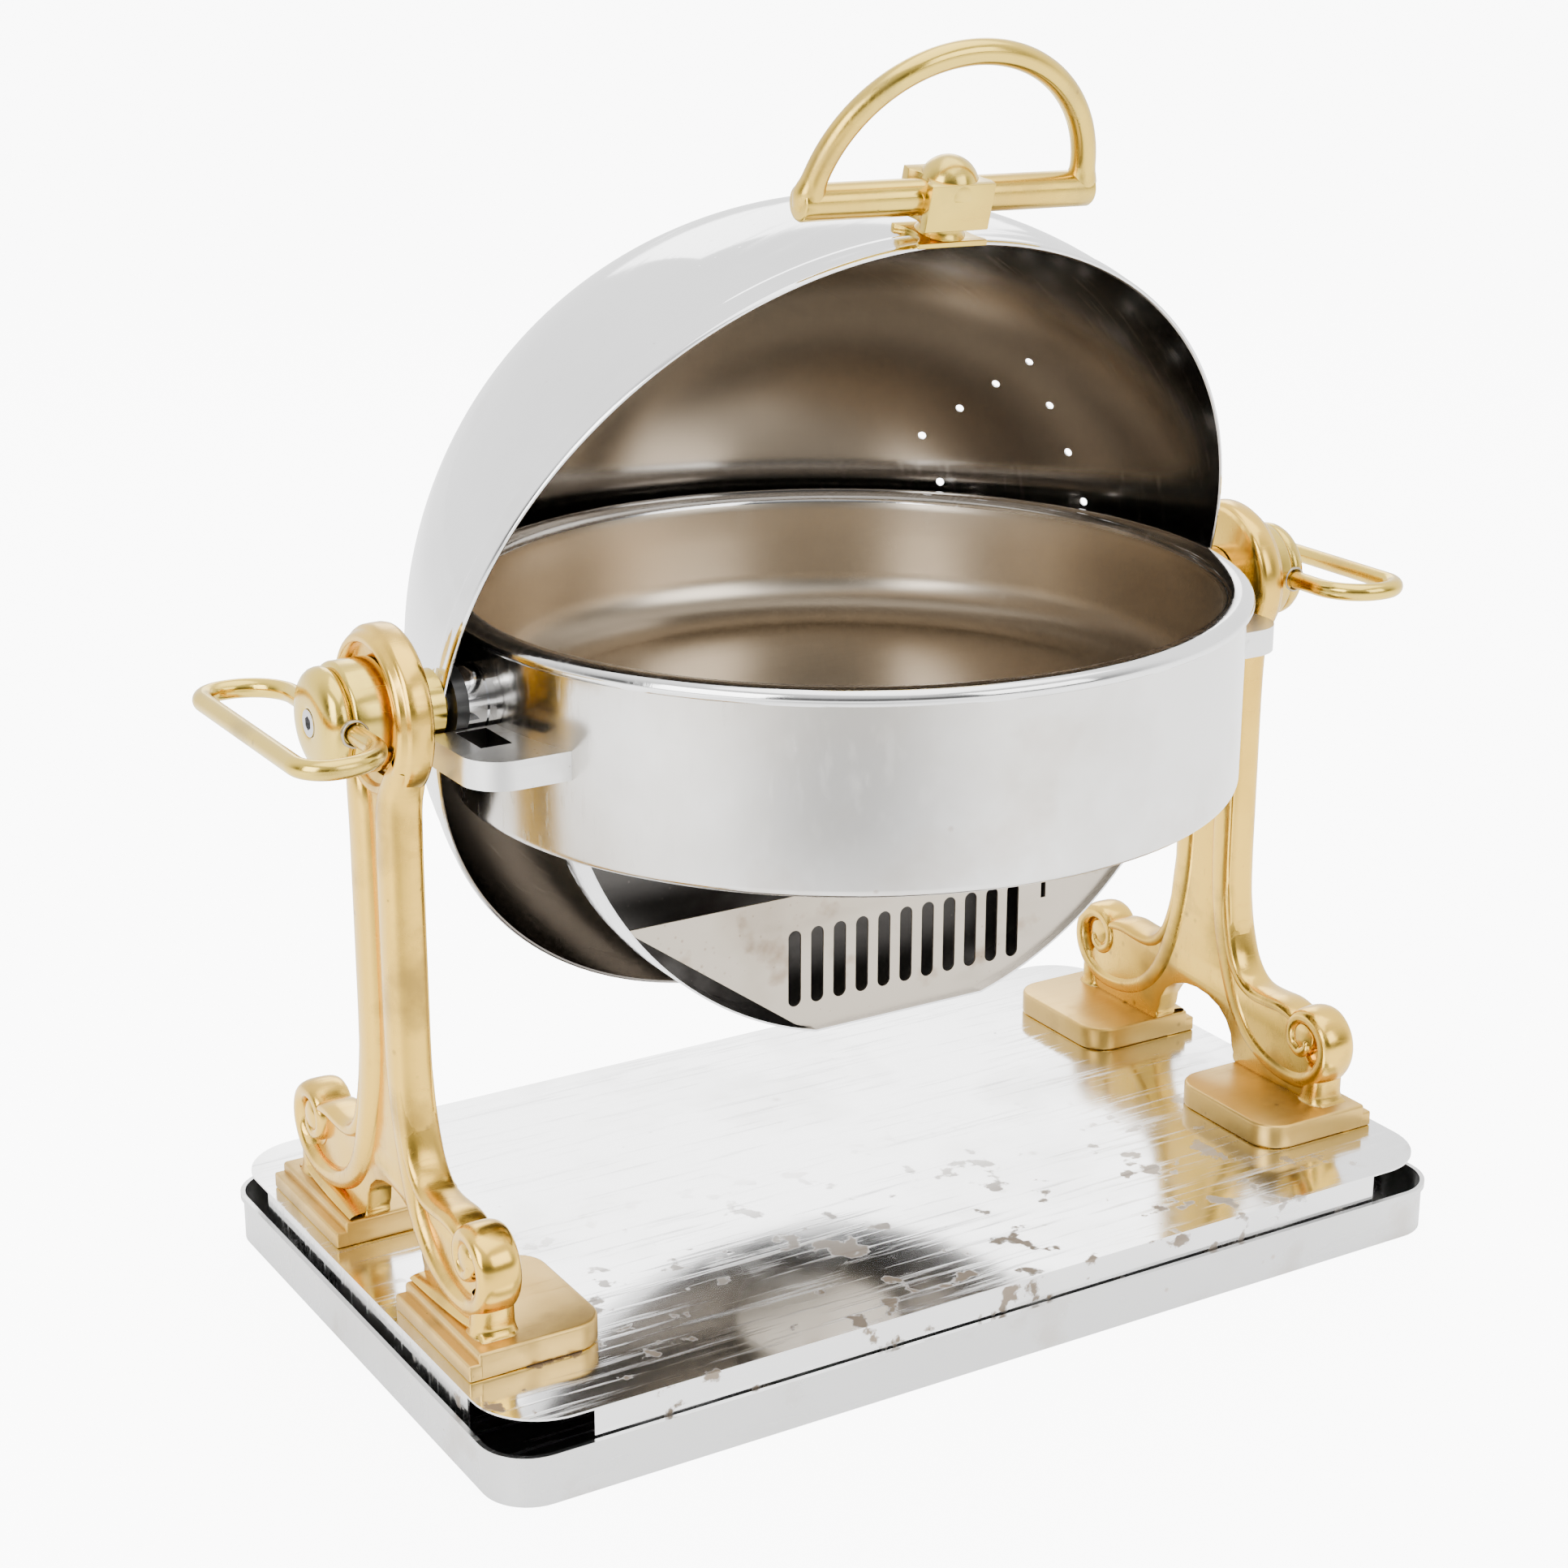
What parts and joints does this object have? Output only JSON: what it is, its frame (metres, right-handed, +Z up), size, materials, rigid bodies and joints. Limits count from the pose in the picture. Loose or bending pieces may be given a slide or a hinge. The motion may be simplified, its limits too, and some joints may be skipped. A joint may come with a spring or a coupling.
{
  "type": "roll top chafer",
  "caption": "Round roll top chafer with scrolled brass legs, a mirror-polished dome lid standing open on side pivots, a food pan and a rectangular steel base tray",
  "frame": {"origin": "middle of the base tray's underside, on the table", "axes": "+X to the object's right along the lid's pivot line, +Y to the back where the open lid hangs, +Z up"},
  "size_m": [0.6414, 0.4231, 0.6322],
  "materials": {
    "tray_steel": "bright brushed stainless steel",
    "mirror_plate": "mirror polished stainless steel with brown water stains",
    "fastener_steel": "plain machine-turned steel",
    "cast_brass": "polished cast brass with brown patina in the recesses",
    "chrome_plate": "bright chrome plate",
    "black_rubber": "black rubber, slightly glossy",
    "drum_steel": "satin stainless steel with smudges",
    "pan_steel": "brushed stainless steel, polished rolled lip",
    "lid_steel": "mirror polished outside, heat-tinted inside",
    "strap_steel": "mirror polished stainless steel strip",
    "dull_steel": "dull steel with brown speckle"
  },
  "bodies": {
    "stand": {"base_tray": "tray_steel", "base_plate": "mirror_plate", "leg_left": "cast_brass", "leg_right": "cast_brass", "leg_bolts": "fastener_steel", "hub_left": "cast_brass", "hub_right": "cast_brass", "hub_cap_left": "cast_brass", "hub_cap_right": "cast_brass", "cap_screw_left": "fastener_steel", "cap_screw_right": "fastener_steel", "side_handle_left": "cast_brass", "side_handle_right": "cast_brass", "pivot_shaft_left": "fastener_steel", "pivot_shaft_right": "fastener_steel", "spacer_left": "chrome_plate", "spacer_right": "chrome_plate", "friction_washer_left": "black_rubber", "friction_washer_right": "black_rubber", "lug_left": "chrome_plate", "lug_right": "chrome_plate", "drum_ring": "drum_steel", "water_pan": "pan_steel", "burner_strap": "strap_steel", "vent_panel": "dull_steel", "burner_back": "dull_steel", "fuel_holder": "dull_steel"},
    "lid": {"lid_dome": "lid_steel", "lid_bushing_left": "cast_brass", "lid_bushing_right": "cast_brass", "handle_saddle": "cast_brass", "handle_block": "cast_brass", "handle_ball": "cast_brass", "handle_crossbar": "cast_brass", "handle_arch": "cast_brass"}
  },
  "joints": [
    {"name": "lid_roll", "type": "hinge", "parent": "stand", "child": "lid", "pos_m": [0, 0, 0.329], "axis": [1, 0, 0], "range_deg": [0, 68]}
  ]
}
